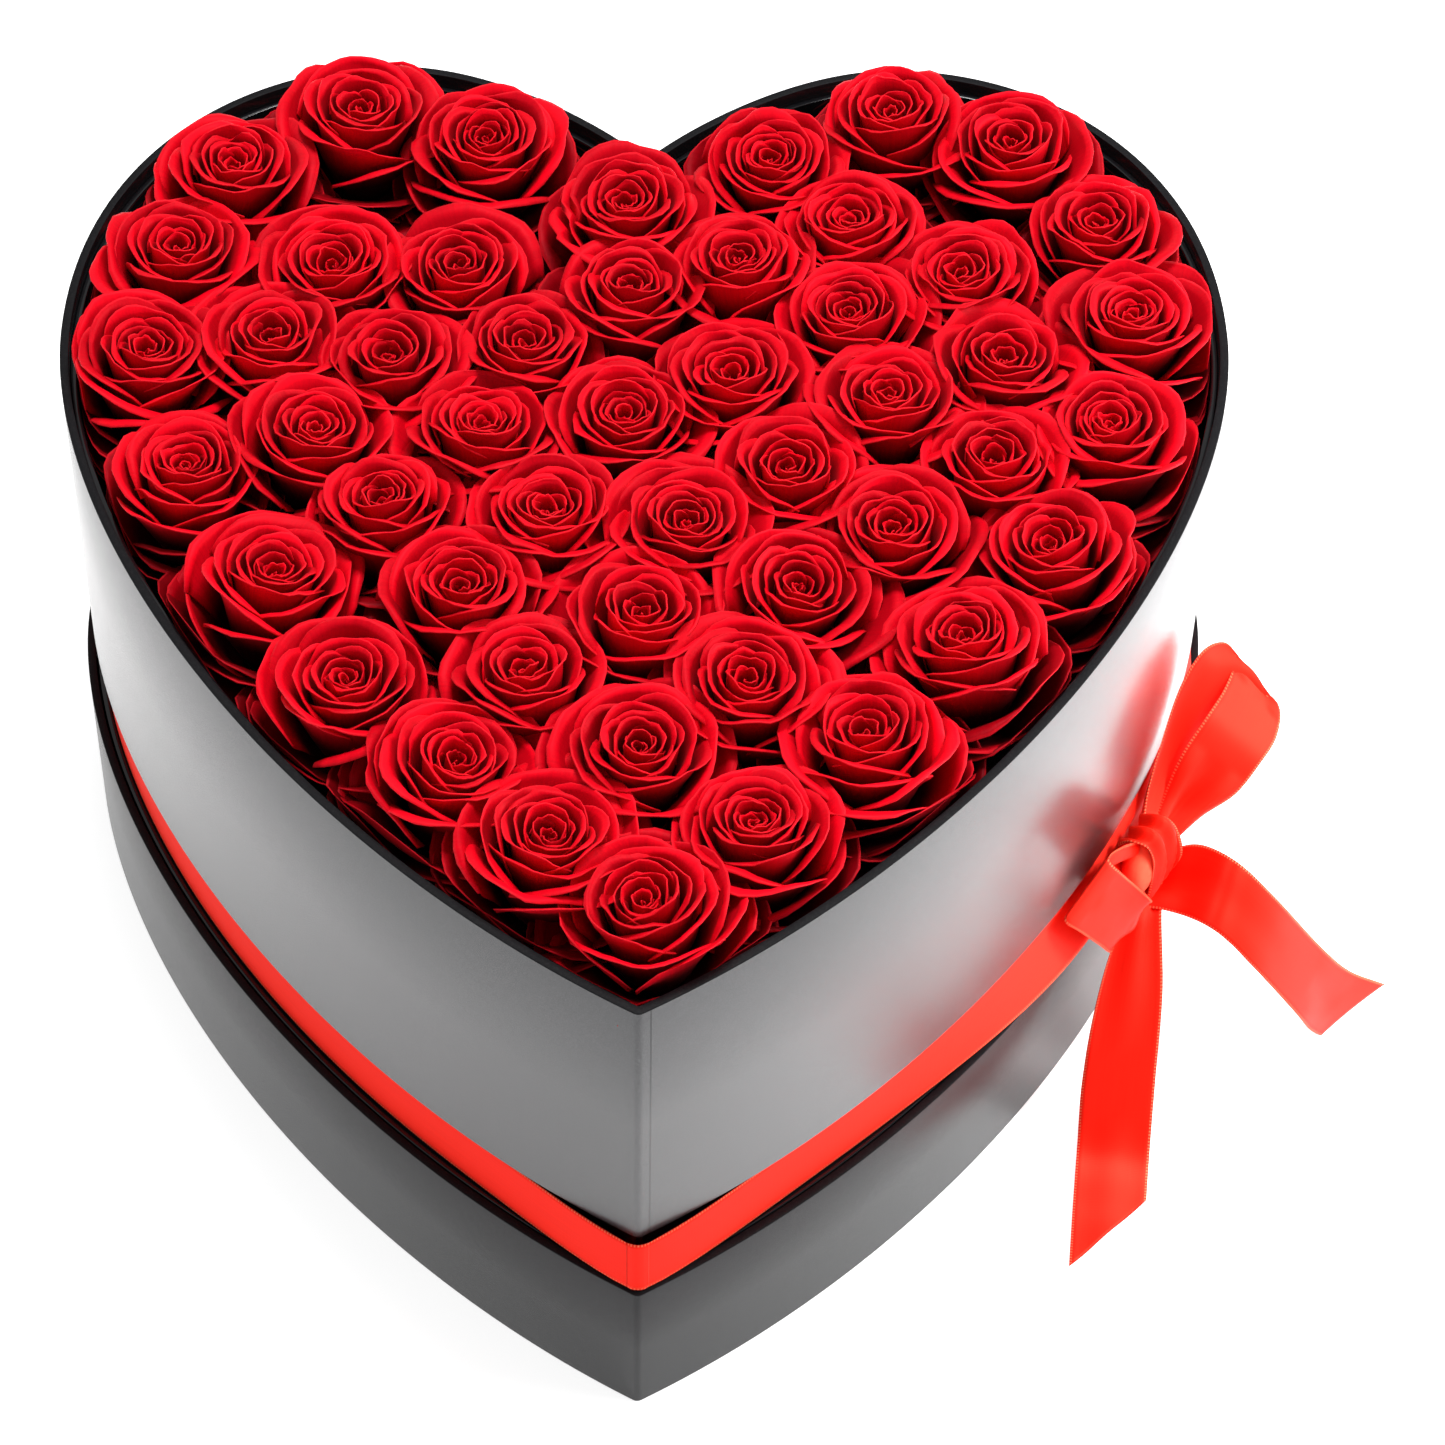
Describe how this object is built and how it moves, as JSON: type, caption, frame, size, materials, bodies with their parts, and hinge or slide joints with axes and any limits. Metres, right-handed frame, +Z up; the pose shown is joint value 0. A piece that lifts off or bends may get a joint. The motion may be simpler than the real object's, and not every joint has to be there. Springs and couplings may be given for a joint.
{
  "type": "flower box",
  "caption": "Heart-shaped cardboard flower box with a ribbon groove and bow, filled with rose heads and standing in a shallow tray.",
  "frame": {"origin": "middle of the tray's underside, on the surface the box stands on", "axes": "+Z up; the heart's point looks along -Y and its two lobes along +Y; +X is the side with the bow"},
  "size_m": [0.4604, 0.4238, 0.22],
  "materials": {
    "wall_paper": "satin",
    "tray_paper": "satin",
    "black_board": "satin",
    "foam": "matte",
    "satin_ribbon": "satin",
    "rose_petals": "matte"
  },
  "bodies": {
    "tray": {"tray_wall": "tray_paper", "tray_floor": "tray_paper"},
    "box": {"upper_wall": "wall_paper", "lower_wall": "black_board", "neck_liner": "black_board", "box_floor": "black_board", "flower_foam": "foam", "ribbon_band": "satin_ribbon", "ribbon_bow": "satin_ribbon", "ribbon_tails": "satin_ribbon", "rose_01": "rose_petals", "rose_02": "rose_petals", "rose_03": "rose_petals", "rose_04": "rose_petals", "rose_05": "rose_petals", "rose_06": "rose_petals", "rose_07": "rose_petals", "rose_08": "rose_petals", "rose_09": "rose_petals", "rose_10": "rose_petals", "rose_11": "rose_petals", "rose_12": "rose_petals", "rose_13": "rose_petals", "rose_14": "rose_petals", "rose_15": "rose_petals", "rose_16": "rose_petals", "rose_17": "rose_petals", "rose_18": "rose_petals", "rose_19": "rose_petals", "rose_20": "rose_petals", "rose_21": "rose_petals", "rose_22": "rose_petals", "rose_23": "rose_petals", "rose_24": "rose_petals", "rose_25": "rose_petals", "rose_26": "rose_petals", "rose_27": "rose_petals", "rose_28": "rose_petals", "rose_29": "rose_petals", "rose_30": "rose_petals", "rose_31": "rose_petals", "rose_32": "rose_petals", "rose_33": "rose_petals", "rose_34": "rose_petals", "rose_35": "rose_petals", "rose_36": "rose_petals", "rose_37": "rose_petals", "rose_38": "rose_petals", "rose_39": "rose_petals", "rose_40": "rose_petals", "rose_41": "rose_petals", "rose_42": "rose_petals", "rose_43": "rose_petals", "rose_44": "rose_petals", "rose_45": "rose_petals", "rose_46": "rose_petals", "rose_47": "rose_petals", "rose_48": "rose_petals", "rose_49": "rose_petals", "rose_50": "rose_petals"}
  },
  "joints": [
    {"name": "box_lift", "type": "slide", "parent": "tray", "child": "box", "axis": [0, 0, 1], "range_m": [0, 0.075]}
  ]
}
